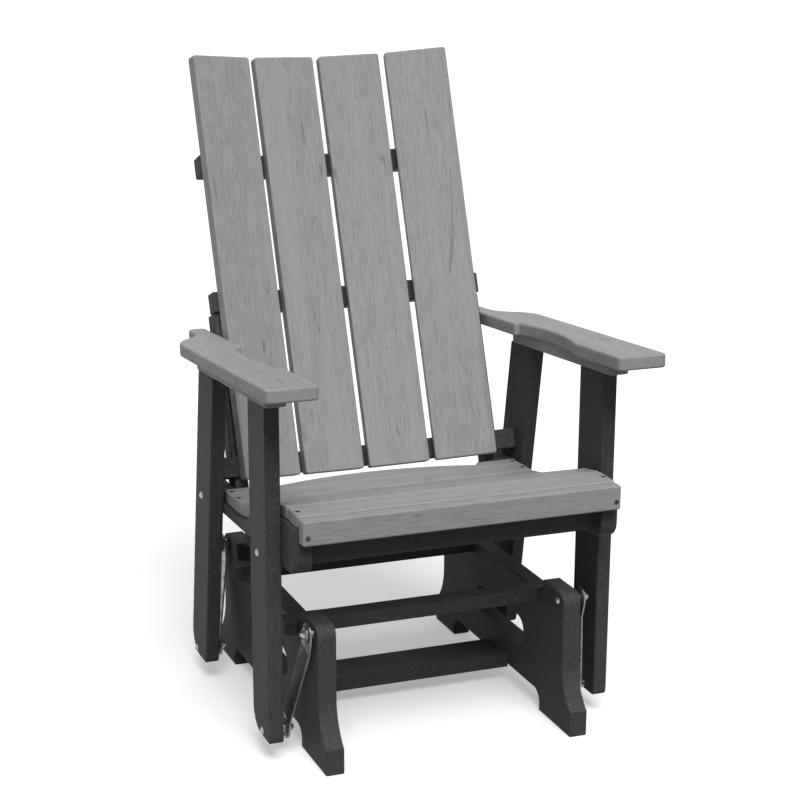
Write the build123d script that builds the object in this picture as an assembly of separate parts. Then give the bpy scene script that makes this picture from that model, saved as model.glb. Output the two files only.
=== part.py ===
from build123d import *
import math
import os

# Glider chair of solid plastic boards: a standing base carries the seat frame on four swinging steel links.
# Lengths are in millimetres and angles in degrees. X = 0 is the middle plane, the chair faces -Y,
# Z = 0 is the floor and Y = 0 is the middle of the base. Each side piece is drawn at +X and mirrored.

# Boards
board_thickness = 25.4
slat_thickness = 22.4
edge_radius = 3.2
overrun = 6.0

# Base side panels
panel_thickness = 33.0
panel_inner_x = 204.0
panel_half_depth = 268.0
panel_height = 247.0
toe_half_depth = 304.5
toe_height = 45.0
toe_curve_top = 118.0
front_foot_length = 126.0
rear_foot_length = 92.0
underside_height = 35.0
foot_corner_radius = 22.0
ear_corner_radius = 20.0
recess_half_depth = 180.0
recess_height = 220.0
recess_corner_radius = 6.0
slot_length = 211.0
slot_height = 49.0
slot_centre_height = 119.5

# Base stretchers
upper_stretcher_half_spacing = 142.5
upper_stretcher_width = 38.0
upper_stretcher_rise = 3.0
upper_stretcher_proud = 20.0
lower_stretcher_width = 86.0
lower_stretcher_height = 30.0
lower_stretcher_screw_spacing = 50.0

# Swinging links
swing_gap = 47.0
pivot_half_spacing = 244.0
pivot_height = 230.0
lower_pivot_height = 46.0
front_link_lean = 54.0
rear_link_lean = 34.6
link_width = 38.0
link_thickness = 3.0
link_offset = 21.6
link_top_straight = 30.0
link_bottom_straight = 24.0
link_bend_radius = 12.0
bearing_core_radius = 11.0
bearing_flange_radius = 15.0
bearing_flange_thickness = 1.5
top_spacer_length = 6.0
running_clearance = 0.08
open_clearance = 5.5
side_clearance = 0.3

# Bolts and nuts
bolt_radius = 4.0
bolt_hole_clearance = 0.3
bolt_head_radius = 6.5
bolt_head_height = 3.8
spacer_radius = 8.5
washer_radius = 12.5
washer_thickness = 1.6
nut_flats = 13.0
nut_height = 6.5
nut_clearance = 0.05
bolt_tip = 2.0

# Wood screws
screw_head_radius = 4.4
screw_head_height = 2.4
screw_radius = 2.3
screw_tip_length = 5.0
screw_sink = 0.6
screw_clearance = 0.2
drive_radius = 1.9
drive_depth = 1.4
screw_length = 45.0
arm_screw_length = 36.0
arm_screw_shares = (0.04, 0.5, 0.97)

# Posts: the bolts' heights are taken down from the front edge of the seat
post_width = 91.5
post_bottom = 35.5
post_rear_radius = 42.0
post_front_radius = 9.0
front_post_y = -185.5
rear_post_lean = 9.76
rear_post_offset = 11.0
post_bolt_drop = 91.0
front_post_bolt_offset = 5.0
rear_post_bolt_offset = 9.0

# Seat frame: drops are taken down from the front edge of the seat
rail_thickness = 30.0
rail_bottom_drop = 118.0
rail_front_rise = 19.0
rail_front_radius = 29.0
rail_rear_reach = 81.0
rail_rear_drop = 77.0
cross_rail_rise = 29.0
front_cross_rail_setback = 27.0
rear_cross_rail_y = 60.0
rear_cross_rail_drop = 45.0
rail_screw_spacing = 26.0

# Seat surface: the middle of the slats' thickness follows a line through these corners
seat_end_gap = 6.5
seat_front_y = -299.5
seat_front_height = 449.0
seat_crest_setback = 66.5
seat_crest_rise = 7.0
seat_crest_bend_share = 0.925
seat_dip_setback = 303.5
seat_dip_drop = 70.5
seat_dip_bend_share = 0.405
seat_rear_y = 113.0
seat_rear_drop = 73.0
seat_slat_count = 7
seat_slat_width = 53.2
seat_slat_gap = 2.5
front_board_height = 41.5
front_board_screw_drop = 28.0
rear_arc_end_gap = 24.6
rear_arc_inset = 15.5
rear_arc_bow = 16.0

# Reclined back: its foot is the lower end of the slats' front faces
back_foot_setback = 24.5
back_foot_drop = 69.0
back_lean = 21.04
back_radius = 740.0
back_slat_count = 4
back_slat_width = 114.3
back_slat_gap = 10.2
back_slat_length = 757.5
back_slat_corner_radius = 5.0
back_rail_height = 37.0
back_rail_depth = 38.0
top_rail_low = 546.5
top_rail_half_length = 247.0
middle_rail_low = 301.0
middle_rail_corner_radius = 12.0
bottom_rail_low = 6.5
back_screw_spacing = 50.0

# Back uprights
upright_thickness = 25.4
upright_depth = 41.0
upright_front_set = 9.0
upright_bottom_drop = 111.0
upright_screw_set = 8.0
upright_screw_drop = 100.0

# Arms
arm_thickness = 23.3
arm_edge_radius = 4.0
arm_front_y = -341.5
arm_front_rise = 223.5
arm_slope = 4.29
arm_overhang = 31.6
arm_tail_reach = 56.8
arm_tail_length = 41.0
arm_tail_width = 32.0
arm_shoulder_length = 117.0
arm_corner_radius = 9.0
scallop_start = 168.0
scallop_middle = 285.0
scallop_end = 412.0
scallop_depth = 21.0
scallop_step = 9.5
scallop_step_radius = 4.4
scallop_blend_radius = 40.0
cleat_thickness = 22.4
cleat_width = 37.0
cleat_front = 84.0
cleat_rear = 482.0
cleat_overhang = 7.0
cleat_corner_radius = 8.0

# Places that follow from the sizes above
panel_outer_x = panel_inner_x + panel_thickness
post_inner_x = panel_outer_x + swing_gap
post_outer_x = post_inner_x + board_thickness
rail_inner_x = post_inner_x - rail_thickness
rail_middle_x = (rail_inner_x + post_inner_x) / 2
post_middle_x = (post_inner_x + post_outer_x) / 2
upright_inner_x = rail_inner_x - upright_thickness
seat_half_width = post_inner_x - seat_end_gap
rear_arc_half_width = upright_inner_x - rear_arc_end_gap
arm_outer_x = post_outer_x + arm_overhang
post_bolt_height = seat_front_height - post_bolt_drop
rail_bottom = seat_front_height - rail_bottom_drop
rail_rear_y = seat_rear_y + rail_rear_reach
rail_rear_height = seat_front_height - rail_rear_drop
cross_rail_bottom = rail_bottom + cross_rail_rise
seat_rear_height = seat_front_height - seat_rear_drop
seat_crest_height = seat_front_height + seat_crest_rise
back_foot_y = seat_rear_y + back_foot_setback
back_foot_height = seat_front_height - back_foot_drop
upright_bottom_height = seat_front_height - upright_bottom_drop
upright_screw_height = seat_front_height - upright_screw_drop
arm_front_height = seat_front_height + arm_front_rise
front_board_rear_y = seat_front_y
front_board_front_y = front_board_rear_y - slat_thickness
front_lower_pivot = (-pivot_half_spacing + front_link_lean, lower_pivot_height)
rear_lower_pivot = (pivot_half_spacing - rear_link_lean, lower_pivot_height)
front_upper_pivot = (-pivot_half_spacing, pivot_height)
rear_upper_pivot = (pivot_half_spacing, pivot_height)

back_rail_front_radius = math.hypot(back_radius + slat_thickness, back_slat_width / 2 - edge_radius / 2)

# Stack of parts along X at the upper and lower pivots
link_inner_x = panel_outer_x + top_spacer_length + side_clearance + bearing_flange_thickness
link_outer_x = link_inner_x + link_thickness
top_washer_x = link_outer_x + bearing_flange_thickness + side_clearance
top_nut_x = top_washer_x + washer_thickness
link_foot_inner_x = link_inner_x + link_offset
link_foot_outer_x = link_outer_x + link_offset
bottom_spacer_x = link_foot_outer_x + bearing_flange_thickness + side_clearance
bottom_washer_x = link_foot_inner_x - bearing_flange_thickness - side_clearance
bottom_nut_x = bottom_washer_x - washer_thickness

back_tilt = math.radians(back_lean)
back_frame = Plane(
    origin=(0, back_foot_y, back_foot_height),
    x_dir=(1, 0, 0),
    z_dir=(0, -math.cos(back_tilt), math.sin(back_tilt)),
).location
arm_tilt = math.radians(arm_slope)
arm_frame = Plane(
    origin=(0, arm_front_y, arm_front_height),
    x_dir=(1, 0, 0),
    z_dir=(0, math.sin(arm_tilt), math.cos(arm_tilt)),
).location
outward = Rot(0, 90, 0)
inward = Rot(0, -90, 0)


def span(low, high):
    """Solid box between two opposite corners."""
    size = [top - bottom for bottom, top in zip(low, high)]
    middle = [(top + bottom) / 2 for bottom, top in zip(low, high)]
    return Pos(*middle) * Box(*size)


def eased(solid, radius=edge_radius):
    """The same solid with every edge rounded."""
    return fillet(solid.edges(), radius)


def board(low, high, radius=edge_radius):
    """Board between two opposite corners, with rounded edges."""
    return eased(span(low, high), radius)


def long_board(low, high, axis, radius=edge_radius):
    """Board rounded along its length only, with square ends that butt against other boards."""
    blank = span(low, high)
    return fillet(blank.edges().filter_by(axis), radius)


def round_corners(face, corners, radius):
    """Face with the named corners rounded."""
    for corner in corners:
        nearest = face.vertices().sort_by_distance(corner)[0]
        face = fillet(nearest, radius)
    return face


def side_extrusion(face, low_x, high_x):
    """Solid from a face drawn in Y and Z, reaching from one X to another."""
    return Pos(low_x, 0, 0) * extrude(Plane.YZ * face, high_x - low_x)


def mirrored(solid):
    """The left-hand twin of a right-hand solid."""
    return mirror(solid, about=Plane.YZ)


def both_sides(solids):
    """Right-hand solids together with their left-hand twins."""
    return solids + [mirrored(solid) for solid in solids]


# Fasteners: each one points along +Z, with the underside of its head at Z = 0

def rod(radius, low, high):
    """Round rod on the Z axis."""
    return Pos(0, 0, (low + high) / 2) * Cylinder(radius, high - low)


def bolt(length):
    """Bolt with a smooth domed head."""
    dome_radius = (bolt_head_radius ** 2 + bolt_head_height ** 2) / (2 * bolt_head_height)
    dome = Pos(0, 0, bolt_head_height - dome_radius) * Sphere(dome_radius)
    head = dome & rod(bolt_head_radius, 0, bolt_head_height)
    return head + rod(bolt_radius, -length, 0)


def ring(outer_radius, length, gap):
    """Spacer or washer round a bolt, standing on Z = 0."""
    return rod(outer_radius, 0, length) - rod(bolt_radius + gap, 0, length)


def nut():
    """Hexagonal lock nut with a rounded collar, standing on Z = 0."""
    hexagon = extrude(RegularPolygon(nut_flats / 2, 6, major_radius=False), nut_height)
    dome = Cone(nut_flats, nut_flats / 3, nut_height, align=(Align.CENTER, Align.CENTER, Align.MIN))
    return (hexagon & dome) - rod(bolt_radius + nut_clearance, 0, nut_height)


def wood_screw(length=screw_length):
    """Flat-headed wood screw with a drive recess and a pointed tip."""
    head = rod(screw_head_radius, 0, screw_head_height)
    shank = rod(screw_radius, screw_tip_length - length, 0)
    tip = Pos(0, 0, screw_tip_length - length) * Rot(180, 0, 0) * Cone(
        screw_radius, screw_radius / 4, screw_tip_length, align=(Align.CENTER, Align.CENTER, Align.MIN)
    )
    recess = Pos(0, 0, screw_head_height - drive_depth) * extrude(RegularPolygon(drive_radius, 6), drive_depth)
    return head + shank + tip - recess


def screw_bore(length=screw_length):
    """Space that a sunk wood screw needs in the boards that it joins."""
    seat = rod(screw_head_radius + screw_clearance, 0, screw_head_height + screw_sink)
    return seat + rod(screw_radius + screw_clearance, -length - screw_clearance, 0)


def drilled(solid, places, length=screw_length):
    """Board with a bore for each screw place."""
    for place in places:
        solid = solid - place * screw_bore(length)
    return solid


def sunk(place):
    """Place of a screw head below the surface point that it is driven through."""
    return place * Pos(0, 0, -screw_head_height - screw_sink)


def bolt_hole(y, z, low_x, high_x):
    """Hole along X for a bolt."""
    hole = outward * rod(bolt_radius + bolt_hole_clearance, low_x - overrun, high_x + overrun)
    return Pos(0, y, z) * hole


# Base

def panel_outline():
    """Side panel seen from the side: flared toes, two ears and a shallow recess between them."""
    outline = [
        Line((-toe_half_depth, 0), (-toe_half_depth, toe_height)),
        toe_curve(-1),
        Line((-panel_half_depth, toe_curve_top), (-panel_half_depth, panel_height)),
        Line((-panel_half_depth, panel_height), (-recess_half_depth, panel_height)),
        Line((-recess_half_depth, panel_height), (-recess_half_depth, recess_height)),
        Line((-recess_half_depth, recess_height), (recess_half_depth, recess_height)),
        Line((recess_half_depth, recess_height), (recess_half_depth, panel_height)),
        Line((recess_half_depth, panel_height), (panel_half_depth, panel_height)),
        Line((panel_half_depth, panel_height), (panel_half_depth, toe_curve_top)),
        toe_curve(1),
        Line((toe_half_depth, toe_height), (toe_half_depth, 0)),
        Line((toe_half_depth, 0), (-toe_half_depth, 0)),
    ]
    face = make_face(outline)
    hollow_front = front_foot_length - toe_half_depth
    hollow_rear = toe_half_depth - rear_foot_length
    hollow = Pos((hollow_front + hollow_rear) / 2, 0) * Rectangle(
        hollow_rear - hollow_front, 2 * underside_height
    )
    hollow = fillet(hollow.vertices(), foot_corner_radius)
    face = face - hollow
    ears = [(-panel_half_depth, panel_height), (panel_half_depth, panel_height)]
    face = round_corners(face, ears, ear_corner_radius)
    steps = [(side * recess_half_depth, height) for side in (-1, 1) for height in (panel_height, recess_height)]
    return round_corners(face, steps, recess_corner_radius)


def toe_curve(side):
    """Hollow curve from the upright face of the panel out to the toe, in front or behind."""
    start = (side * panel_half_depth, toe_curve_top)
    end = (side * toe_half_depth, toe_height)
    return TangentArc(start, end, tangent=(0, -1))


def stretcher_corners(middle_y, half_length):
    """Lowest and highest corner of an upper stretcher."""
    top = recess_height + upper_stretcher_rise
    low = (-half_length, middle_y - upper_stretcher_width / 2, top - board_thickness)
    high = (half_length, middle_y + upper_stretcher_width / 2, top)
    return low, high


def upper_stretcher(middle_y):
    """Upper cross board, let into both panels and standing proud of them."""
    stretcher = board(*stretcher_corners(middle_y, panel_outer_x + upper_stretcher_proud))
    return drilled(stretcher, stretcher_screw_places(middle_y))


def stretcher_screw_places(middle_y):
    """Screws down through an upper stretcher into the two panels."""
    middle_x = (panel_inner_x + panel_outer_x) / 2
    top = recess_height + upper_stretcher_rise
    return [sunk(Pos(side * middle_x, middle_y, top)) for side in (-1, 1)]


def lower_stretcher_screw_places():
    """Screws through the outer face of the right panel into the lower stretcher."""
    height = lower_stretcher_height + board_thickness / 2
    half = lower_stretcher_screw_spacing / 2
    return [sunk(Pos(panel_outer_x, y, height) * outward) for y in (-half, half)]


def base_panel():
    """Right side panel with its hand slot, stretcher notches and drilled holes."""
    face = panel_outline() - Pos(0, slot_centre_height) * SlotOverall(slot_length, slot_height)
    panel = side_extrusion(face, panel_inner_x, panel_outer_x)
    faces = panel.faces().filter_by(Axis.X)
    panel = fillet(faces.edges(), edge_radius)
    for middle_y in (-upper_stretcher_half_spacing, upper_stretcher_half_spacing):
        low, high = stretcher_corners(middle_y, panel_outer_x + overrun)
        panel = panel - span(low, high)
        panel = drilled(panel, stretcher_screw_places(middle_y))
    for y, z in (front_upper_pivot, rear_upper_pivot):
        panel = panel - bolt_hole(y, z, panel_inner_x, panel_outer_x)
    return drilled(panel, lower_stretcher_screw_places())


def lower_stretcher():
    """Wide flat board between the panels, close above the floor."""
    half_width = lower_stretcher_width / 2
    low = (-panel_inner_x, -half_width, lower_stretcher_height)
    high = (panel_inner_x, half_width, lower_stretcher_height + board_thickness)
    stretcher = long_board(low, high, Axis.X)
    bores = both_sides([place * screw_bore() for place in lower_stretcher_screw_places()])
    for bore in bores:
        stretcher = stretcher - bore
    return stretcher


def base_screws():
    """Screws that hold the three stretchers to the panels."""
    screws = both_sides([place * wood_screw() for place in lower_stretcher_screw_places()])
    for middle_y in (-upper_stretcher_half_spacing, upper_stretcher_half_spacing):
        screws += [place * wood_screw() for place in stretcher_screw_places(middle_y)]
    return screws


# Pivots and links

def upper_pivot_set(shape, x, facing):
    """One fastener part at each of the four upper pivots."""
    places = [Pos(x, y, z) * facing for y, z in (front_upper_pivot, rear_upper_pivot)]
    return both_sides([place * shape for place in places])


def lower_pivot_set(shape, x, facing):
    """One fastener part at each of the four lower pivots."""
    places = [Pos(x, y, z) * facing for y, z in (front_lower_pivot, rear_lower_pivot)]
    return both_sides([place * shape for place in places])


def link(upper, lower):
    """Right-hand steel strip from an upper to a lower pivot, joggled outward past the panel."""
    length = math.hypot(upper[0] - lower[0], upper[1] - lower[1])
    half_width = link_width / 2
    top = half_width
    bottom = -length - half_width
    bend_top = -link_top_straight
    bend_bottom = link_bottom_straight - length
    path = [(0, top), (0, bend_top), (link_offset, bend_bottom), (link_offset, bottom)]
    inner = FilletPolyline(*path, radius=link_bend_radius)
    outer = Pos(link_thickness, 0) * inner
    section = make_face(inner.edges() + outer.edges() + link_ends(path))
    strip = extrude(Plane.XZ * section, half_width, both=True)
    outline = Pos(0, -length / 2) * Rot(0, 0, 90) * SlotCenterToCenter(length, link_width)
    side_view = extrude(Plane.YZ * outline, link_offset + link_thickness)
    for height, reach in ((0, link_thickness), (-length, link_offset + link_thickness)):
        side_view = side_view - Pos(0, 0, height) * outward * rod(bearing_core_radius, -overrun, reach + overrun)
    return link_place(upper, lower) * (strip & side_view)


def link_ends(path):
    """Short edges that close the section of a link at its two ends."""
    return [Line(point, (point[0] + link_thickness, point[1])) for point in (path[0], path[-1])]


def link_place(upper, lower):
    """Frame of a link: its origin is at the upper pivot and its length runs down -Z."""
    lean = math.degrees(math.atan2(lower[0] - upper[0], upper[1] - lower[1]))
    return Pos(link_inner_x, upper[0], upper[1]) * Rot(lean, 0, 0)


def bearing(bore_radius):
    """Bearing in a link's eye, with a flange on each face of the strip."""
    core = rod(bearing_core_radius, 0, link_thickness)
    flanges = rod(bearing_flange_radius, -bearing_flange_thickness, 0)
    flanges = flanges + rod(bearing_flange_radius, link_thickness, link_thickness + bearing_flange_thickness)
    reach = bearing_flange_thickness + overrun
    return outward * (core + flanges - rod(bore_radius, -reach, link_thickness + reach))


def link_bearings(upper, lower, lower_bore_radius):
    """The two bearings of a right-hand link."""
    place = link_place(upper, lower)
    length = math.hypot(upper[0] - lower[0], upper[1] - lower[1])
    top = place * bearing(bolt_radius + running_clearance)
    bottom = place * Pos(link_offset, 0, -length) * bearing(lower_bore_radius)
    return [top, bottom]


# Posts

def front_post():
    """Upright front post, with its top cut along the cleat under the arm."""
    low_y = front_post_y - post_width / 2
    high_y = front_post_y + post_width / 2
    corners = [(low_y, post_bottom), (high_y, post_bottom), (high_y, arm_front_height), (low_y, arm_front_height)]
    return finished_post(corners, front_lower_pivot, front_post_bolt_place())


def rear_post():
    """Rear post, leaning forward towards its top."""
    lean = math.tan(math.radians(rear_post_lean))
    middle = rear_lower_pivot[0] - rear_post_offset
    low_y = middle - post_width / 2
    high_y = middle + post_width / 2
    shift = lean * (arm_front_height - post_bottom)
    corners = [
        (low_y, post_bottom),
        (high_y, post_bottom),
        (high_y - shift, arm_front_height),
        (low_y - shift, arm_front_height),
    ]
    return finished_post(corners, rear_lower_pivot, rear_post_bolt_place())


def finished_post(corners, pivot, upper_bolt):
    """Right-hand post from its outline: rounded foot, sloping top, two bolt holes and screw bores."""
    face = make_face(Polyline(*corners, close=True))
    face = round_corners(face, [corners[0]], post_front_radius)
    face = round_corners(face, [corners[1]], post_rear_radius)
    post = side_extrusion(face, post_inner_x, post_outer_x) - above_cleat_underside()
    post = eased(post)
    for y, z in (pivot, upper_bolt):
        post = post - bolt_hole(y, z, post_inner_x, post_outer_x)
    return drilled(post, cleat_screw_places())


def above_cleat_underside():
    """All the space above the underside of the arm's cleat."""
    low = (0, -overrun, -arm_thickness - cleat_thickness)
    high = (arm_outer_x + overrun, arm_length() + overrun, arm_front_height)
    return arm_frame * span(low, high)


def front_post_bolt_place():
    """Y and Z of the bolt that holds the front post to the seat rail."""
    return front_post_y + front_post_bolt_offset, post_bolt_height


def rear_post_bolt_place():
    """Y and Z of the bolt that holds the rear post and the foot of the upright to the seat rail."""
    return upright_middle_y(post_bolt_height) + rear_post_bolt_offset, post_bolt_height


def post_bolts():
    """Bolts that clamp posts to seat rails, with the uprights' feet on the rear ones."""
    front_length = post_outer_x - rail_inner_x + nut_height + bolt_tip
    lengths = (front_length, front_length + upright_thickness)
    places = (front_post_bolt_place(), rear_post_bolt_place())
    bolts = [Pos(post_outer_x, y, z) * outward * bolt(length) for (y, z), length in zip(places, lengths)]
    return both_sides(bolts)


def post_nuts():
    """Nuts on the inner ends of the post bolts."""
    front = Pos(rail_inner_x, *front_post_bolt_place()) * inward * nut()
    rear = Pos(upright_inner_x, *rear_post_bolt_place()) * inward * nut()
    return both_sides([front, rear])


# Seat

def seat_line():
    """Middle line of the slats' thickness, from the front of the seat to its rear, in Y and Z."""
    front_height = seat_front_height - slat_thickness / 2
    front = Vector(seat_front_y, front_height)
    crest = Vector(seat_front_y + seat_crest_setback, front_height + seat_crest_rise)
    dip = Vector(seat_front_y + seat_dip_setback, front_height - seat_dip_drop)
    rear = Vector(seat_rear_y, front_height - seat_rear_drop)
    crest_radius = bend_radius(front, crest, dip, seat_crest_bend_share)
    dip_radius = bend_radius(crest, dip, rear, seat_dip_bend_share)
    return FilletPolyline(front, crest, dip, rear, radius=(crest_radius, dip_radius))


def bend_radius(before, corner, after, share):
    """Radius of a bend that takes up this share of the shorter of the two lines that meet at a corner."""
    arriving = corner - before
    leaving = after - corner
    half_turn = math.radians(arriving.get_angle(leaving) / 2)
    return share * min(arriving.length, leaving.length) / math.tan(half_turn)


def slat_place(distance):
    """Frame on the seat line: X across the chair, Y backwards along the line, Z up out of the seat."""
    line = seat_line()
    point = line.position_at(distance, position_mode=PositionMode.LENGTH)
    slope = line.tangent_at(distance, position_mode=PositionMode.LENGTH)
    angle = math.degrees(math.atan2(slope.Y, slope.X))
    return Pos(0, point.X, point.Y) * Rot(angle, 0, 0)


def slat_distance(index):
    """Distance along the seat line to the middle of a slat, counted from the front."""
    return seat_slat_gap + seat_slat_width / 2 + index * (seat_slat_width + seat_slat_gap)


def slat_corners():
    """Lowest and highest corner of a seat slat in its own frame."""
    half = (seat_half_width, seat_slat_width / 2, slat_thickness / 2)
    return [-size for size in half], half


def slat_screw_places(index):
    """The two screws that hold a seat slat to the side rails."""
    surface = slat_place(slat_distance(index)) * Pos(0, 0, slat_thickness / 2)
    return [sunk(surface * Pos(side * rail_middle_x, 0, 0)) for side in (-1, 1)]


def seat_slat(index):
    """One narrow board across the seat."""
    slat = slat_place(slat_distance(index)) * board(*slat_corners())
    return drilled(slat, slat_screw_places(index))


def rear_slat_front_y():
    """Front edge of the wide rear slat, one gap behind the last narrow one."""
    middle = slat_place(slat_distance(seat_slat_count - 1)).position.Y
    return middle + seat_slat_width / 2 + seat_slat_gap


def rear_slat_blank():
    """Rear seat board before rounding: its rear edge bows out between the uprights."""
    front_y = rear_slat_front_y()
    arc_end_y = seat_rear_y - rear_arc_inset
    arc_middle = (0, seat_rear_y + rear_arc_bow)
    outline = [
        Line((-seat_half_width, seat_rear_y), (-seat_half_width, front_y)),
        Line((-seat_half_width, front_y), (seat_half_width, front_y)),
        Line((seat_half_width, front_y), (seat_half_width, seat_rear_y)),
        Line((seat_half_width, seat_rear_y), (rear_arc_half_width, seat_rear_y)),
        Line((rear_arc_half_width, seat_rear_y), (rear_arc_half_width, arc_end_y)),
        ThreePointArc((rear_arc_half_width, arc_end_y), arc_middle, (-rear_arc_half_width, arc_end_y)),
        Line((-rear_arc_half_width, arc_end_y), (-rear_arc_half_width, seat_rear_y)),
        Line((-rear_arc_half_width, seat_rear_y), (-seat_half_width, seat_rear_y)),
    ]
    return Pos(0, 0, seat_rear_height - slat_thickness) * extrude(make_face(outline), slat_thickness)


def rear_slat_screw_places():
    """The two screws that hold the rear slat to the side rails."""
    middle_y = (rear_slat_front_y() + seat_rear_y) / 2
    return [sunk(Pos(side * rail_middle_x, middle_y, seat_rear_height)) for side in (-1, 1)]


def rear_seat_slat():
    """Wide board at the rear of the seat."""
    return drilled(eased(rear_slat_blank()), rear_slat_screw_places())


def front_board_screw_places():
    """The two screws through the front board into the ends of the side rails."""
    height = seat_front_height - front_board_screw_drop
    facing = Rot(90, 0, 0)
    return [sunk(Pos(side * rail_middle_x, front_board_front_y, height) * facing) for side in (-1, 1)]


def front_board():
    """Light board across the front edge of the seat."""
    low = (-seat_half_width, front_board_front_y, seat_front_height - front_board_height)
    high = (seat_half_width, front_board_rear_y, seat_front_height)
    return drilled(board(low, high), front_board_screw_places())


def under_slats(frame_board):
    """A board of the seat frame, cut to lie under every slat, without the offcuts between them."""
    low, high = slat_corners()
    clear_high = (post_outer_x, high[1] + seat_slat_gap, high[2] + seat_front_height)
    clear_low = (-post_outer_x, low[1] - seat_slat_gap, low[2])
    for index in range(seat_slat_count):
        frame_board = frame_board - slat_place(slat_distance(index)) * span(clear_low, clear_high)
    return frame_board.solids().sort_by(SortBy.VOLUME)[-1]


def seat_rail():
    """Right side rail under the seat slats, its underside rising to a rounded nose."""
    rear_top = seat_rear_height - slat_thickness
    nose = (seat_front_y, rail_bottom + rail_front_rise)
    outline = Polyline(
        nose,
        (rail_rear_y, rail_bottom),
        (rail_rear_y, rail_rear_height),
        (seat_rear_y + side_clearance, rail_rear_height),
        (seat_rear_y + side_clearance, rear_top),
        (rear_slat_front_y() - seat_slat_gap / 2, rear_top),
        (rear_slat_front_y() - seat_slat_gap / 2, seat_front_height),
        (seat_front_y, seat_front_height),
        close=True,
    )
    face = round_corners(make_face(outline), [nose], rail_front_radius)
    blank = side_extrusion(face, rail_inner_x, post_inner_x)
    rail = under_slats(fillet(blank.faces().filter_by(Axis.X).edges(), edge_radius))
    for y, z in (front_post_bolt_place(), rear_post_bolt_place()):
        rail = rail - bolt_hole(y, z, rail_inner_x, post_inner_x)
    places = rear_slat_screw_places() + front_board_screw_places() + rail_screw_places() + upright_screw_places()
    for index in range(seat_slat_count):
        places += slat_screw_places(index)
    return drilled(rail, [place for place in places if place.position.X > 0])


def cross_rail_middle_y():
    """Middle of the thickness of the front and of the rear cross rail."""
    front = seat_front_y + front_cross_rail_setback + board_thickness / 2
    return front, rear_cross_rail_y


def front_cross_rail():
    """Dark board across the seat frame, close behind the front board."""
    middle_y = cross_rail_middle_y()[0]
    low = (-rail_inner_x, middle_y - board_thickness / 2, cross_rail_bottom)
    high = (rail_inner_x, middle_y + board_thickness / 2, seat_crest_height)
    rail = under_slats(span(low, high))
    bottom_edges = rail.edges().filter_by(Axis.X).sort_by(Axis.Z)[0:2]
    return drilled_both(fillet(bottom_edges, edge_radius), rail_screw_places())


def rear_cross_rail():
    """Dark board across the seat frame under the rear of the seat."""
    middle_y = cross_rail_middle_y()[1]
    top = seat_rear_height - slat_thickness
    low = (-rail_inner_x, middle_y - board_thickness / 2, rail_bottom - rear_cross_rail_drop)
    high = (rail_inner_x, middle_y + board_thickness / 2, top)
    rail = under_slats(span(low, high))
    bottom_edges = rail.edges().filter_by(Axis.X).sort_by(Axis.Z)[0:2]
    return drilled_both(fillet(bottom_edges, edge_radius), rail_screw_places())


def rail_screw_places():
    """Screws through the right side rail into the ends of the two cross rails."""
    front_y, rear_y = cross_rail_middle_y()
    front_low = cross_rail_bottom + rail_screw_spacing / 2
    places = [(front_y, front_low), (front_y, front_low + rail_screw_spacing)]
    places += [(rear_y, (rail_bottom + seat_rear_height - slat_thickness) / 2)]
    return [sunk(Pos(post_inner_x, y, z) * outward) for y, z in places]


def drilled_both(solid, places):
    """Board across the chair with right-hand screw bores and their left-hand twins."""
    for bore in both_sides([place * screw_bore() for place in places]):
        solid = solid - bore
    return solid


def rail_screws():
    """Screws between the side rails and the cross rails."""
    return both_sides([place * wood_screw() for place in rail_screw_places()])


def seat_screws():
    """Screws of the seat slats and of the front board."""
    places = rear_slat_screw_places() + front_board_screw_places()
    for index in range(seat_slat_count):
        places += slat_screw_places(index)
    return [place * wood_screw() for place in places]


# Back: drawn in its own frame, X across, Y up along the slats and Z forward out of their faces

def back_slat_angle(index):
    """Angle of a slat round the curve of the back, counted from the left."""
    pitch = math.degrees((back_slat_width + back_slat_gap) / back_radius)
    return pitch * (index - (back_slat_count - 1) / 2)


def back_slat_place(index):
    """Frame at the middle of a slat's bottom edge, on its front face."""
    angle = back_slat_angle(index)
    across = back_radius * math.sin(math.radians(angle))
    forward = back_radius * (1 - math.cos(math.radians(angle)))
    return Pos(across, 0, forward) * Rot(0, -angle, 0)


def back_slat(index):
    """One long flat board of the back."""
    half = back_slat_width / 2
    blank = span((-half, 0, -slat_thickness), (half, back_slat_length, 0))
    blank = fillet(blank.edges().filter_by(Axis.Z), back_slat_corner_radius)
    slat = back_slat_place(index) * eased(blank)
    return back_frame * drilled(slat, back_screw_places(index))


def back_rail_blank(low, half_length):
    """Curved cross rail whose hollow side touches the backs of the slats."""
    front_radius = back_rail_front_radius
    curve = Cylinder(front_radius + back_rail_depth, back_rail_height) - Cylinder(front_radius, back_rail_height)
    curve = Pos(0, low + back_rail_height / 2, back_radius) * Rot(90, 0, 0) * curve
    reach = Pos(0, low + back_rail_height / 2, 0) * Box(2 * half_length, 2 * back_rail_height, 2 * back_radius)
    return curve & reach


def back_screws_at(low):
    """Screws from behind a rail into every slat, two to a slat."""
    places = []
    half = back_screw_spacing / 2
    depth = back_rail_front_radius + back_rail_depth - back_radius
    for index in range(back_slat_count):
        for across in (-half, half):
            behind = back_slat_place(index) * Pos(across, low + back_rail_height / 2, -depth)
            places.append(sunk(behind * Rot(0, 180, 0)))
    return places


def back_screw_places(index=None):
    """All screws of the back, or those of one slat."""
    places = [back_screws_at(low) for low in (top_rail_low, middle_rail_low, bottom_rail_low)]
    if index is None:
        return sum(places, [])
    return [place for row in places for place in row[2 * index:2 * index + 2]]


def back_screws():
    """Screws that hold the slats to the three curved rails."""
    return [back_frame * place * wood_screw() for place in back_screw_places()]


def top_back_rail():
    """Upper curved rail."""
    rail = eased(back_rail_blank(top_rail_low, top_rail_half_length))
    return back_frame * drilled(rail, back_screws_at(top_rail_low))


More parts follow.
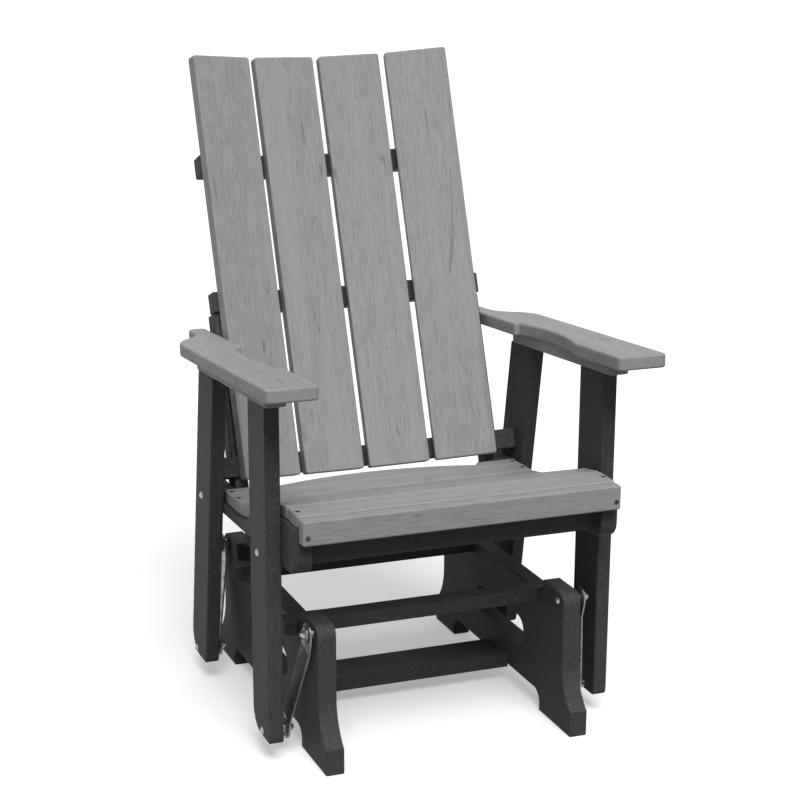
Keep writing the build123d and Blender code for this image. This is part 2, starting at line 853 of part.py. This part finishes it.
def middle_back_rail():
    """Middle curved rail, which lies on top of the two uprights."""
    blank = back_rail_blank(middle_rail_low, rail_inner_x)
    rear_corners = [blank.edges().filter_by(Axis.Y).sort_by(key)[0] for key in rear_corner_keys()]
    rail = eased(fillet(rear_corners, middle_rail_corner_radius))
    return back_frame * drilled(rail, back_screws_at(middle_rail_low))


def rear_corner_keys():
    """Sorting rules that put the left and the right rear corner of a curved rail first."""
    return (
        lambda edge: edge.center().X + edge.center().Z,
        lambda edge: edge.center().Z - edge.center().X,
    )


def bottom_back_rail():
    """Lower curved rail, whose ends butt against the rear posts."""
    rail = eased(back_rail_blank(bottom_rail_low, post_inner_x))
    return back_frame * drilled(rail, back_screws_at(bottom_rail_low))


def upright_screw_places():
    """Screw through the foot of the right upright into the side rail, close to its front face."""
    foot = (upright_screw_height - back_foot_height) / math.cos(back_tilt)
    front_y = back_foot_y + foot * math.sin(back_tilt) - upright_front_set / math.cos(back_tilt)
    surface = Pos(upright_inner_x, front_y + upright_screw_set, upright_screw_height)
    return [sunk(surface * inward)]


def upright_middle_y(height):
    """Y of the middle of the uprights' depth at a height."""
    foot_middle = (upright_depth / 2 - upright_front_set) / math.cos(back_tilt)
    return back_foot_y + foot_middle + (height - back_foot_height) * math.tan(back_tilt)


def back_upright():
    """Right leaning upright, from the side rail up to the middle rail, notched round the bottom rail."""
    bottom = (upright_bottom_height - back_foot_height) / math.cos(back_tilt)
    low = (upright_inner_x, bottom, upright_front_set - upright_depth)
    high = (rail_inner_x, middle_rail_low, upright_front_set)
    notched = board(low, high) - back_rail_blank(bottom_rail_low, post_inner_x)
    hole = bolt_hole(*rear_post_bolt_place(), upright_inner_x, rail_inner_x)
    upright = back_frame * notched - hole
    return drilled(upright, upright_screw_places() + arm_tail_screw_places())


# Arms: drawn in their own frame, X across, Y backwards from the front end and Z up out of the top face

def arm_outline():
    """Right arm seen from above: wide and scalloped, with a rounded shoulder and a narrow tail."""
    tail_outer_x = rail_inner_x + arm_tail_width
    tail_end = arm_length()
    tail_start = tail_end - arm_tail_length
    shoulder_start = tail_start - arm_shoulder_length
    shoulder_middle = ((arm_outer_x + tail_outer_x) / 2, (shoulder_start + tail_start) / 2)
    outer_curve = TangentArc((arm_outer_x, shoulder_start), shoulder_middle, tangent=(0, 1))
    inner_curve = TangentArc(shoulder_middle, (tail_outer_x, tail_start), tangent=outer_curve % 1)
    face = make_face([
        Line((rail_inner_x, 0), (arm_outer_x, 0)),
        Line((arm_outer_x, 0), (arm_outer_x, shoulder_start)),
        outer_curve,
        inner_curve,
        Line((tail_outer_x, tail_start), (tail_outer_x, tail_end)),
        Line((tail_outer_x, tail_end), (rail_inner_x, tail_end)),
        Line((rail_inner_x, tail_end), (rail_inner_x, scallop_end)),
        Line((rail_inner_x, scallop_end), (rail_inner_x + scallop_step, scallop_end)),
        ThreePointArc(
            (rail_inner_x + scallop_step, scallop_end),
            (rail_inner_x + scallop_depth, scallop_middle),
            (rail_inner_x, scallop_start),
        ),
        Line((rail_inner_x, scallop_start), (rail_inner_x, 0)),
    ])
    ends = [(rail_inner_x, 0), (arm_outer_x, 0), (rail_inner_x, tail_end), (tail_outer_x, tail_end)]
    face = round_corners(face, ends, arm_corner_radius)
    step = [(rail_inner_x, scallop_end), (rail_inner_x + scallop_step, scallop_end)]
    face = round_corners(face, step, scallop_step_radius)
    return round_corners(face, [(rail_inner_x, scallop_start)], scallop_blend_radius)


def arm():
    """Right arm board."""
    blank = Pos(0, 0, -arm_thickness) * extrude(arm_outline(), arm_thickness)
    rims = blank.faces().filter_by(Axis.Z).edges()
    solid = arm_frame * fillet(rims, arm_edge_radius)
    solid = drilled(solid, arm_screw_places(), arm_screw_length)
    return drilled(solid, arm_tail_screw_places())


def arm_cleat():
    """Board under the right arm, which ties it to the tops of both posts."""
    inner_x = post_outer_x + cleat_overhang - cleat_width
    middle = ((inner_x + post_outer_x + cleat_overhang) / 2, (cleat_front + cleat_rear) / 2)
    face = Pos(*middle) * RectangleRounded(cleat_width, cleat_rear - cleat_front, cleat_corner_radius)
    blank = Pos(0, 0, -arm_thickness - cleat_thickness) * extrude(face, cleat_thickness)
    lower_edges = blank.faces().sort_by(Axis.Z)[0].edges()
    cleat = arm_frame * fillet(lower_edges, edge_radius)
    cleat = drilled(cleat, arm_screw_places(), arm_screw_length)
    return drilled(cleat, cleat_screw_places())


def arm_screw_places():
    """Screws up through the cleat into the right arm, clear of the posts."""
    underside = -arm_thickness - cleat_thickness
    reach = cleat_rear - cleat_front
    places = [Pos(post_middle_x, cleat_front + share * reach, underside) for share in arm_screw_shares]
    return [sunk(arm_frame * place * Rot(180, 0, 0)) for place in places]


def cleat_screw_places():
    """Screws down through the cleat into the tops of the right posts, hidden under the arm."""
    rear_shift = math.tan(math.radians(rear_post_lean)) * (arm_front_height - arm_thickness - post_bottom)
    rear_y = rear_lower_pivot[0] - rear_post_offset - rear_shift
    places = []
    for y in (front_post_y, rear_y):
        along = (y - arm_front_y) / math.cos(arm_tilt)
        places.append(sunk(arm_frame * Pos(post_middle_x, along, -arm_thickness)))
    return places


def arm_crossing():
    """Distance along the arm at which its middle line crosses that of the upright."""
    level_reach = upright_middle_y(arm_front_height - arm_thickness / 2) - arm_front_y
    return level_reach / (1 + math.tan(back_tilt) * math.tan(arm_tilt)) / math.cos(arm_tilt)


def arm_length():
    """Length of the arm, whose tail reaches past the upright."""
    return arm_crossing() + arm_tail_reach


def arm_tail_screw_places():
    """Screw through the tail of the right arm into the upright."""
    surface = Pos(rail_inner_x + arm_tail_width, arm_crossing(), -arm_thickness / 2)
    return [sunk(arm_frame * surface * outward)]


def arm_screws():
    """Screws of the arms and their cleats."""
    screws = [place * wood_screw(arm_screw_length) for place in arm_screw_places()]
    screws += [place * wood_screw() for place in cleat_screw_places() + arm_tail_screw_places()]
    return both_sides(screws)


# Files

def save(name, *shapes):
    """Write one sub-part, with each of its pieces as a separate solid."""
    solids = [solid for shape in shapes for solid in shape.solids()]
    export_step(Compound(children=solids), f"parts/{name}.step")


def save_pair(name, right_solid):
    """Write a right-hand piece and its left-hand twin."""
    save(f"{name}_right", right_solid)
    save(f"{name}_left", mirrored(right_solid))


def save_base():
    """Write everything that stands still."""
    save_pair("base_panel", base_panel())
    save("upper_stretcher_front", upper_stretcher(-upper_stretcher_half_spacing))
    save("upper_stretcher_rear", upper_stretcher(upper_stretcher_half_spacing))
    save("lower_stretcher", lower_stretcher())
    save("base_screws", *base_screws())
    pivot_bolt = bolt(top_nut_x + nut_height + bolt_tip - panel_inner_x)
    spacer = ring(spacer_radius, top_spacer_length, nut_clearance)
    washer = ring(washer_radius, washer_thickness, nut_clearance)
    save("upper_pivot_bolts", *upper_pivot_set(pivot_bolt, panel_inner_x, inward))
    save("upper_pivot_spacers", *upper_pivot_set(spacer, panel_outer_x, outward))
    save("upper_pivot_washers", *upper_pivot_set(washer, top_washer_x, outward))
    save("upper_pivot_nuts", *upper_pivot_set(nut(), top_nut_x, outward))


def save_links():
    """Write the four swinging links and their bearings."""
    close_bore = bolt_radius + running_clearance
    ends = {
        "front": (front_upper_pivot, front_lower_pivot, close_bore),
        "rear": (rear_upper_pivot, rear_lower_pivot, bolt_radius + open_clearance),
    }
    for row, (upper, lower, bore_radius) in ends.items():
        save_pair(f"link_{row}", link(upper, lower))
        bearings = link_bearings(upper, lower, bore_radius)
        save(f"bearings_{row}_right", *bearings)
        save(f"bearings_{row}_left", *[mirrored(part) for part in bearings])


def save_seat_frame():
    """Write the posts, the dark rails of the seat and their bolts."""
    save_pair("front_post", front_post())
    save_pair("rear_post", rear_post())
    save_pair("seat_rail", seat_rail())
    save("front_cross_rail", front_cross_rail())
    save("rear_cross_rail", rear_cross_rail())
    save("rail_screws", *rail_screws())
    save("post_bolts", *post_bolts())
    save("post_nuts", *post_nuts())
    pivot_bolt = bolt(post_outer_x - bottom_nut_x + nut_height + bolt_tip)
    spacer = ring(spacer_radius, post_inner_x - bottom_spacer_x, nut_clearance)
    washer = ring(washer_radius, washer_thickness, nut_clearance)
    save("lower_pivot_bolts", *lower_pivot_set(pivot_bolt, post_outer_x, outward))
    save("lower_pivot_spacers", *lower_pivot_set(spacer, bottom_spacer_x, outward))
    save("lower_pivot_washers", *lower_pivot_set(washer, bottom_washer_x, inward))
    save("lower_pivot_nuts", *lower_pivot_set(nut(), bottom_nut_x, inward))


def save_seat():
    """Write the boards that are sat on."""
    save("front_board", front_board())
    for index in range(seat_slat_count):
        save(f"seat_slat_{index + 1}", seat_slat(index))
    save("rear_seat_slat", rear_seat_slat())
    save("seat_screws", *seat_screws())


def save_back():
    """Write the slats, rails and uprights of the back."""
    for index in range(back_slat_count):
        save(f"back_slat_{index + 1}", back_slat(index))
    save("top_back_rail", top_back_rail())
    save("middle_back_rail", middle_back_rail())
    save("bottom_back_rail", bottom_back_rail())
    save_pair("back_upright", back_upright())
    save("back_screws", *back_screws())
    save("upright_screws", *both_sides([place * wood_screw() for place in upright_screw_places()]))


def save_arms():
    """Write the arms and what fastens them."""
    save_pair("arm", arm())
    save_pair("arm_cleat", arm_cleat())
    save("arm_screws", *arm_screws())


os.makedirs("parts", exist_ok=True)
save_base()
save_links()
save_seat_frame()
save_seat()
save_back()
save_arms()
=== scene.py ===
import math

import bpy
from mathutils import Color, Matrix, Vector

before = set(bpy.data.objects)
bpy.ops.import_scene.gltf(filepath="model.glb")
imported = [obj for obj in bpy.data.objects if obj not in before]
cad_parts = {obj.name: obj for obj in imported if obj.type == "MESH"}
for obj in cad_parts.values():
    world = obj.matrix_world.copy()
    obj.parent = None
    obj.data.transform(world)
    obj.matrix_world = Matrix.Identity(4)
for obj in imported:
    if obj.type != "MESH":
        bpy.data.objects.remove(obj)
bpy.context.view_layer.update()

# Boards: tones
light_tone_share = 0.62
light_streak_tone_share = 0.56
light_band_tone_share = 0.635
light_fleck_tone_share = 0.47
light_line_tone_share = 0.48
dark_tone_share = 0.28
dark_streak_tone_share = 0.245
dark_speck_tone_share = 0.345

# Boards: how closely the marks repeat, per metre
streak_across = 420
streak_along = 26
band_across = 34
band_along = 1.6
fleck_across = 420
fleck_along = 70
speck_across = 330
speck_along = 210
band_bend_share = 0.5

# Marks: where in its noise each one starts and is full, and how far it covers what lies under it
light_streak_shares = (0.34, 0.66)
band_shares = (0.45, 0.7)
band_cover_shares = (0, 0.5)
fleck_shares = (0.66, 0.76)
fleck_cover_shares = (0, 0.75)
dark_streak_shares = (0.36, 0.66)
speck_shares = (0.52, 0.7)
wear_shares = (0.4, 0.7)
mottle_shares = (0.35, 0.7)
shine_shares = (0.3, 0.7)

# Boards: thin wandering lines, broken off in patches
line_width_share = 0.009
line_middle_share = 0.5
line_cover_shares = (1, 0)
line_patch_shares = (0.5, 0.62)
board_rings = 1
arm_rings = 7

# Marks: how many finer layers the noise has
plain_detail = 0
soft_detail = 1
fine_detail = 2
finest_detail = 3

# Boards: shine and feel
light_gloss_share = 0.2
light_roughness_shares = (0.5, 0.66)
dark_gloss_share = 0.1
dark_roughness_shares = (0.55, 0.75)
grain_depth = 0.0006
grain_bump_share = 0.35
speck_depth = 0.0005
speck_bump_share = 0.3

# Boards: which way the grain runs, in degrees up from straight back
level_lean = 0
upright_lean = 90
arm_lean = -4.29
back_lean = 68.96
rear_post_lean = 99.76

# Metal and bearings
bolt_tone_share = 0.66
bolt_worn_tone_share = 0.5
bolt_roughness_shares = (0.24, 0.42)
link_tone_share = 0.5
link_worn_tone_share = 0.38
link_roughness_shares = (0.3, 0.5)
screw_tone_share = 0.3
screw_worn_tone_share = 0.2
screw_roughness_shares = (0.34, 0.55)
brush_fine = 900
brush_long = 60
brush_depth = 0.0001
brush_bump_share = 0.2
bearing_tone_share = 0.2
bearing_worn_tone_share = 0.26
bearing_roughness_shares = (0.4, 0.55)

# Camera
camera_place = (-1.235, -3.217, 1.4565)
camera_target = (-0.0334, -0.1109, 0.3678)
camera_roll = 0.191
lens_mm = 92.6
sensor_mm = 36
camera_shift_share = 0.1448

# Floor, room and lamp
white_share = 1
floor_size = 60
floor_tone_share = 0.94
floor_lit_tone_share = 0.4
floor_glow = 0.34
room_glow = 0.35
key_height_angle = 55
key_side_angle = 8
key_spread = 35
key_strength = 2.5


def grey(tone_share):
    """A plain grey that is seen as this share of white."""
    seen = Color((tone_share, tone_share, tone_share))
    return (*seen.from_srgb_to_scene_linear(), 1)


def new_material(name):
    """A node material, its tree and its surface shader."""
    material = bpy.data.materials.new(name)
    material.use_nodes = True
    tree = material.node_tree
    return material, tree, tree.nodes["Principled BSDF"]


def grain_places(tree, lean):
    """Places on the object, turned so that the grain of a board with that lean runs along Y."""
    places = tree.nodes.new("ShaderNodeTexCoord")
    turned = tree.nodes.new("ShaderNodeMapping")
    turned.inputs["Rotation"].default_value[0] = -math.radians(lean)
    tree.links.new(places.outputs["Object"], turned.inputs["Vector"])
    return turned.outputs["Vector"]


def marks(tree, places, stretch, detail, bend_share=0):
    """A soft noise that repeats stretch times per metre along each axis."""
    scaled = tree.nodes.new("ShaderNodeMapping")
    scaled.inputs["Scale"].default_value = stretch
    noise = tree.nodes.new("ShaderNodeTexNoise")
    noise.inputs["Scale"].default_value = 1
    noise.inputs["Detail"].default_value = detail
    noise.inputs["Distortion"].default_value = bend_share
    tree.links.new(places, scaled.inputs["Vector"])
    tree.links.new(scaled.outputs["Vector"], noise.inputs["Vector"])
    return noise.outputs["Fac"]


def between(tree, value, from_shares, to_shares=(0, 1)):
    """The value carried from one pair of limits to another, held at the ends."""
    fit = tree.nodes.new("ShaderNodeMapRange")
    fit.inputs["From Min"].default_value = from_shares[0]
    fit.inputs["From Max"].default_value = from_shares[1]
    fit.inputs["To Min"].default_value = to_shares[0]
    fit.inputs["To Max"].default_value = to_shares[1]
    tree.links.new(value, fit.inputs["Value"])
    return fit.outputs["Result"]


def worked(tree, operation, first, second=0):
    """Two values put together by one sum. The second may be a plain number, and some sums leave it out."""
    sum_node = tree.nodes.new("ShaderNodeMath")
    sum_node.operation = operation
    tree.links.new(first, sum_node.inputs[0])
    if isinstance(second, bpy.types.NodeSocket):
        tree.links.new(second, sum_node.inputs[1])
    else:
        sum_node.inputs[1].default_value = second
    return sum_node.outputs["Value"]


def layered(tree, share, under, over):
    """The colour over laid on the colour under by a share that changes from place to place."""
    mix = tree.nodes.new("ShaderNodeMixRGB")
    tree.links.new(share, mix.inputs["Fac"])
    for socket, colour in (("Color1", under), ("Color2", over)):
        if isinstance(colour, bpy.types.NodeSocket):
            tree.links.new(colour, mix.inputs[socket])
        else:
            mix.inputs[socket].default_value = colour
    return mix.outputs["Color"]


def raised(tree, shader, height, depth, strength_share):
    """Gives the surface the relief of a height."""
    bump = tree.nodes.new("ShaderNodeBump")
    bump.inputs["Strength"].default_value = strength_share
    bump.inputs["Distance"].default_value = depth
    tree.links.new(height, bump.inputs["Height"])
    tree.links.new(bump.outputs["Normal"], shader.inputs["Normal"])


def coated(tree, shader, colour, roughness):
    """Gives the surface its colour and its roughness."""
    tree.links.new(colour, shader.inputs["Base Color"])
    tree.links.new(roughness, shader.inputs["Roughness"])


def stretched(across, along, sideways):
    """How a mark is drawn out, along X for a board that lies sideways and along Y for the others."""
    return (along, across, across) if sideways else (across, along, across)


def light_board(name, lean, sideways=False, rings=board_rings):
    """A pale board with fine streaks, soft bands, short dark flecks and thin wandering lines."""
    material, tree, shader = new_material(name)
    places = grain_places(tree, lean)
    streak_stretch = stretched(streak_across, streak_along, sideways)
    band_stretch = stretched(band_across, band_along, sideways)
    fleck_stretch = stretched(fleck_across, fleck_along, sideways)
    patch_stretch = stretched(band_across, streak_along, sideways)
    streak = marks(tree, places, streak_stretch, finest_detail)
    band = marks(tree, places, band_stretch, soft_detail, band_bend_share)
    fleck = marks(tree, places, fleck_stretch, soft_detail)
    patch = marks(tree, places, patch_stretch, plain_detail)

    streak_share = between(tree, streak, light_streak_shares)
    band_share = between(tree, band, band_shares, band_cover_shares)
    fleck_share = between(tree, fleck, fleck_shares, fleck_cover_shares)
    ring = worked(tree, "FRACT", worked(tree, "MULTIPLY", band, rings))
    from_line = worked(tree, "ABSOLUTE", worked(tree, "SUBTRACT", ring, line_middle_share))
    line = between(tree, from_line, (0, line_width_share * rings), line_cover_shares)
    line_share = worked(tree, "MULTIPLY", line, between(tree, patch, line_patch_shares))

    colour = layered(tree, streak_share, grey(light_tone_share), grey(light_streak_tone_share))
    colour = layered(tree, band_share, colour, grey(light_band_tone_share))
    colour = layered(tree, fleck_share, colour, grey(light_fleck_tone_share))
    colour = layered(tree, line_share, colour, grey(light_line_tone_share))
    relief = worked(tree, "SUBTRACT", streak, fleck)

    coated(tree, shader, colour, between(tree, streak, shine_shares, light_roughness_shares))
    shader.inputs["Specular IOR Level"].default_value = light_gloss_share
    raised(tree, shader, relief, grain_depth, grain_bump_share)
    return material


def dark_board(name, lean, sideways=False):
    """A near-black board with a fine speckle and faint streaks."""
    material, tree, shader = new_material(name)
    places = grain_places(tree, lean)
    streak = marks(tree, places, stretched(streak_across, streak_along, sideways), fine_detail)
    speck = marks(tree, places, stretched(speck_across, speck_along, sideways), fine_detail)

    streak_share = between(tree, streak, dark_streak_shares)
    colour = layered(tree, streak_share, grey(dark_tone_share), grey(dark_streak_tone_share))
    colour = layered(tree, between(tree, speck, speck_shares), colour, grey(dark_speck_tone_share))
    relief = worked(tree, "ADD", streak, speck)

    coated(tree, shader, colour, between(tree, speck, shine_shares, dark_roughness_shares))
    shader.inputs["Specular IOR Level"].default_value = dark_gloss_share
    raised(tree, shader, relief, speck_depth, speck_bump_share)
    return material


def metal(name, tone_share, worn_tone_share, roughness_shares):
    """Brushed metal, duller in patches."""
    material, tree, shader = new_material(name)
    places = grain_places(tree, upright_lean)
    brushing = marks(tree, places, (brush_fine, brush_long, brush_fine), soft_detail)
    wear = marks(tree, places, (brush_long, brush_long, brush_long), fine_detail)
    colour = layered(tree, between(tree, wear, wear_shares), grey(tone_share), grey(worn_tone_share))
    coated(tree, shader, colour, between(tree, wear, shine_shares, roughness_shares))
    shader.inputs["Metallic"].default_value = 1
    raised(tree, shader, brushing, brush_depth, brush_bump_share)
    return material


def moulding(name):
    """Smooth dark plastic with a faint mottle."""
    material, tree, shader = new_material(name)
    places = grain_places(tree, level_lean)
    mottle = marks(tree, places, (speck_across, speck_across, speck_across), fine_detail)
    mottle_share = between(tree, mottle, mottle_shares)
    colour = layered(tree, mottle_share, grey(bearing_tone_share), grey(bearing_worn_tone_share))
    coated(tree, shader, colour, between(tree, mottle, shine_shares, bearing_roughness_shares))
    raised(tree, shader, mottle, brush_depth, brush_bump_share)
    return material


def finish_nodes(material, *starts):
    """Gives the material to every node whose name starts in one of these ways."""
    for name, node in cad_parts.items():
        if name.startswith(starts):
            node.data.materials.clear()
            node.data.materials.append(material)


def dress_boards():
    """Pale boards on the seat, back and arms, dark boards under and behind them."""
    seat_board = light_board("light_across", level_lean, sideways=True)
    finish_nodes(seat_board, "seat_slat", "rear_seat_slat", "front_board")
    finish_nodes(light_board("light_back", back_lean), "back_slat")
    arm_board = light_board("light_arm", arm_lean, rings=arm_rings)
    finish_nodes(arm_board, "arm_left", "arm_right", "arm_cleat")
    across_names = ("front_cross_rail", "rear_cross_rail", "lower_stretcher", "upper_stretcher")
    back_rail_names = ("top_back_rail", "middle_back_rail", "bottom_back_rail")
    across_board = dark_board("dark_across", level_lean, sideways=True)
    finish_nodes(across_board, *across_names, *back_rail_names)
    finish_nodes(dark_board("dark_level", level_lean), "base_panel", "seat_rail")
    finish_nodes(dark_board("dark_front_post", upright_lean), "front_post")
    finish_nodes(dark_board("dark_rear_post", rear_post_lean), "rear_post")
    finish_nodes(dark_board("dark_back_upright", back_lean), "back_upright")


def dress_hardware():
    """Bright bolts, duller links, dark screws and plastic bearings."""
    bolts = metal("bolt_metal", bolt_tone_share, bolt_worn_tone_share, bolt_roughness_shares)
    links = metal("link_metal", link_tone_share, link_worn_tone_share, link_roughness_shares)
    screws = metal("screw_metal", screw_tone_share, screw_worn_tone_share, screw_roughness_shares)
    screw_names = ("arm_screws", "back_screws", "base_screws", "rail_screws", "seat_screws", "upright_screws")
    finish_nodes(bolts, "post_bolts", "post_nuts", "lower_pivot_", "upper_pivot_")
    finish_nodes(links, "link_")
    finish_nodes(screws, *screw_names)
    finish_nodes(moulding("bearing_plastic"), "bearings_")


def to_own_rays(tree, seen, lit):
    """Shows one surface to the camera, gloss and glass, and lights the object with the other."""
    rays = tree.nodes.new("ShaderNodeLightPath")
    seen_share = worked(tree, "MAXIMUM", rays.outputs["Is Camera Ray"], rays.outputs["Is Glossy Ray"])
    seen_share = worked(tree, "MAXIMUM", seen_share, rays.outputs["Is Transmission Ray"])
    mix = tree.nodes.new("ShaderNodeMixShader")
    tree.links.new(seen_share, mix.inputs["Fac"])
    tree.links.new(lit, mix.inputs[1])
    tree.links.new(seen, mix.inputs[2])
    return mix.outputs["Shader"]


def floor():
    """A plain pale floor that still shows the shadow."""
    half = floor_size / 2
    corners = [(-half, -half, 0), (half, -half, 0), (half, half, 0), (-half, half, 0)]
    mesh = bpy.data.meshes.new("floor")
    mesh.from_pydata(corners, [], [(0, 1, 2, 3)])
    plane = bpy.data.objects.new("floor", mesh)
    bpy.context.scene.collection.objects.link(plane)
    material, tree, lit = new_material("pale_floor")
    lit.inputs["Base Color"].default_value = grey(floor_lit_tone_share)
    lit.inputs["Specular IOR Level"].default_value = 0
    seen = tree.nodes.new("ShaderNodeBsdfDiffuse")
    seen.inputs["Color"].default_value = grey(floor_tone_share)
    glow = tree.nodes.new("ShaderNodeEmission")
    glow.inputs["Strength"].default_value = floor_glow
    lifted = tree.nodes.new("ShaderNodeAddShader")
    tree.links.new(seen.outputs["BSDF"], lifted.inputs[0])
    tree.links.new(glow.outputs["Emission"], lifted.inputs[1])
    surface = to_own_rays(tree, lifted.outputs["Shader"], lit.outputs["BSDF"])
    tree.links.new(surface, tree.nodes["Material Output"].inputs["Surface"])
    mesh.materials.append(material)


def room():
    """White behind the object, and an even soft light from all round."""
    world = bpy.data.worlds.new("room")
    bpy.context.scene.world = world
    world.use_nodes = True
    tree = world.node_tree
    lit = tree.nodes["Background"]
    lit.inputs["Color"].default_value = grey(white_share)
    lit.inputs["Strength"].default_value = room_glow
    seen = tree.nodes.new("ShaderNodeBackground")
    seen.inputs["Color"].default_value = grey(white_share)
    surface = to_own_rays(tree, seen.outputs["Background"], lit.outputs["Background"])
    tree.links.new(surface, tree.nodes["World Output"].inputs["Surface"])


def key_lamp():
    """One wide soft lamp from above, in front and a little to the left."""
    light = bpy.data.lights.new("key_lamp", "SUN")
    light.angle = math.radians(key_spread)
    light.energy = key_strength
    holder = bpy.data.objects.new("key_lamp", light)
    tilt = math.pi / 2 - math.radians(key_height_angle)
    holder.rotation_euler = (tilt, 0, -math.radians(key_side_angle))
    bpy.context.scene.collection.objects.link(holder)


def camera():
    """The camera, a little above the chair and to the left of its front."""
    lens = bpy.data.cameras.new("camera")
    lens.lens = lens_mm
    lens.sensor_width = sensor_mm
    lens.shift_y = camera_shift_share
    holder = bpy.data.objects.new("camera", lens)
    facing = (Vector(camera_target) - Vector(camera_place)).to_track_quat("-Z", "Y")
    roll = Matrix.Rotation(math.radians(camera_roll), 4, "Z")
    holder.matrix_world = Matrix.Translation(camera_place) @ facing.to_matrix().to_4x4() @ roll
    bpy.context.scene.collection.objects.link(holder)
    bpy.context.scene.camera = holder


dress_boards()
dress_hardware()
floor()
room()
key_lamp()
camera()
bpy.context.scene.view_settings.view_transform = "Standard"
